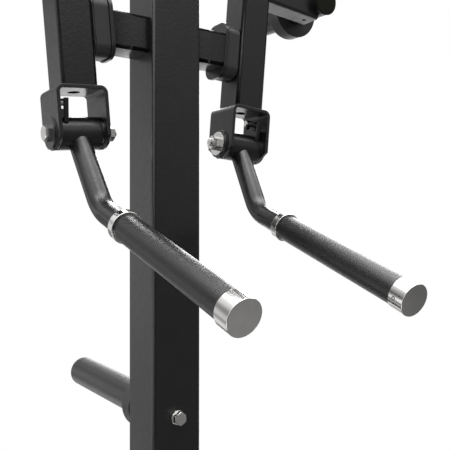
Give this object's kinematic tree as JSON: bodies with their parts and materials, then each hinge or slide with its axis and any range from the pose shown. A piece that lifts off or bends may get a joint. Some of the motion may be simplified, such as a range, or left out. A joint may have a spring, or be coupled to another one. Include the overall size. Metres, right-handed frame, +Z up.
{
  "type": "standing lateral raise machine",
  "caption": "Free-standing plate-loaded lateral raise machine: upright on a floor frame, swinging arms with loading pegs, arm stops, storage peg and forked grip handles.",
  "frame": {"origin": "on the floor, under the middle of the upright, which is the bottom centre of the bounding box", "axes": "+Z up the upright, -Y to the front where the user stands, +X to the right hand of the user facing the upright"},
  "size_m": [0.83, 1.116, 1.477],
  "materials": {
    "black_powder_coat": "black powder coat with a fine orange peel",
    "zinc_hardware": "bright zinc plated steel",
    "polished_steel": "polished steel",
    "bush_steel": "turned steel bush",
    "bush_bronze": "sintered bronze bush",
    "grip_rubber": "matt rubber with a fine grain",
    "stop_rubber": "moulded black rubber",
    "flange_rubber": "moulded black rubber",
    "rubber_pad": "moulded black rubber",
    "black_plastic": "moulded plastic end cap",
    "plug_plastic": "moulded plastic plug"
  },
  "bodies": {
    "frame": {"base_beam": "black_powder_coat", "cross_feet": "black_powder_coat", "foot_end_caps": "black_plastic", "rubber_feet": "rubber_pad", "gussets": "black_powder_coat", "upright": "black_powder_coat", "upright_cap": "black_plastic", "head_plates": "black_powder_coat", "head_bolts": "zinc_hardware", "head_nuts": "zinc_hardware", "pivot_bolts": "zinc_hardware", "pivot_nuts": "zinc_hardware", "crossbar_left": "black_powder_coat", "crossbar_right": "black_powder_coat", "stop_plates": "black_powder_coat", "stop_blocks": "stop_rubber", "storage_peg": "black_powder_coat", "storage_peg_insert": "black_powder_coat", "storage_peg_flange": "flange_rubber", "storage_peg_bolt": "zinc_hardware", "storage_peg_washer": "zinc_hardware"},
    "arm_left_body": {"arm_left": "black_powder_coat", "arm_hub_left": "black_powder_coat", "hub_bushes_left": "bush_bronze", "outrigger_left": "black_powder_coat", "load_peg_left": "black_powder_coat", "load_peg_flange_left": "flange_rubber", "load_peg_plug_left": "plug_plastic", "fork_left": "black_powder_coat", "fork_bolt_left": "zinc_hardware", "fork_nut_left": "zinc_hardware", "fork_washer_left": "zinc_hardware", "stop_pin_left": "zinc_hardware"},
    "handle_left_body": {"handle_sleeve_left": "black_powder_coat", "sleeve_bushes_left": "bush_steel", "stop_tab_left": "black_powder_coat", "handle_tube_left": "black_powder_coat", "grip_collar_left": "polished_steel", "grip_left": "grip_rubber", "grip_cap_left": "polished_steel"},
    "arm_right_body": {"arm_right": "black_powder_coat", "arm_hub_right": "black_powder_coat", "hub_bushes_right": "bush_bronze", "outrigger_right": "black_powder_coat", "load_peg_right": "black_powder_coat", "load_peg_flange_right": "flange_rubber", "load_peg_plug_right": "plug_plastic", "fork_right": "black_powder_coat", "fork_bolt_right": "zinc_hardware", "fork_nut_right": "zinc_hardware", "fork_washer_right": "zinc_hardware", "stop_pin_right": "zinc_hardware"},
    "handle_right_body": {"handle_sleeve_right": "black_powder_coat", "sleeve_bushes_right": "bush_steel", "stop_tab_right": "black_powder_coat", "handle_tube_right": "black_powder_coat", "grip_collar_right": "polished_steel", "grip_right": "grip_rubber", "grip_cap_right": "polished_steel"}
  },
  "joints": [
    {"name": "arm_left_swing", "type": "hinge", "parent": "frame", "child": "arm_left_body", "pos_m": [-0.168, 0, 1.41], "axis": [0, 1, 0], "range_deg": [0, 95]},
    {"name": "arm_right_swing", "type": "hinge", "parent": "frame", "child": "arm_right_body", "pos_m": [0.168, 0, 1.41], "axis": [0, -1, 0], "range_deg": [0, 95]},
    {"name": "handle_left_swing", "type": "hinge", "parent": "arm_left_body", "child": "handle_left_body", "pos_m": [-0.13127, 0, 0.97254], "axis": [-0.9965, 0, -0.0837], "range_deg": [0, 22]},
    {"name": "handle_right_swing", "type": "hinge", "parent": "arm_right_body", "child": "handle_right_body", "pos_m": [0.13127, 0, 0.97254], "axis": [-0.9965, 0, 0.0837], "range_deg": [0, 22]}
  ]
}
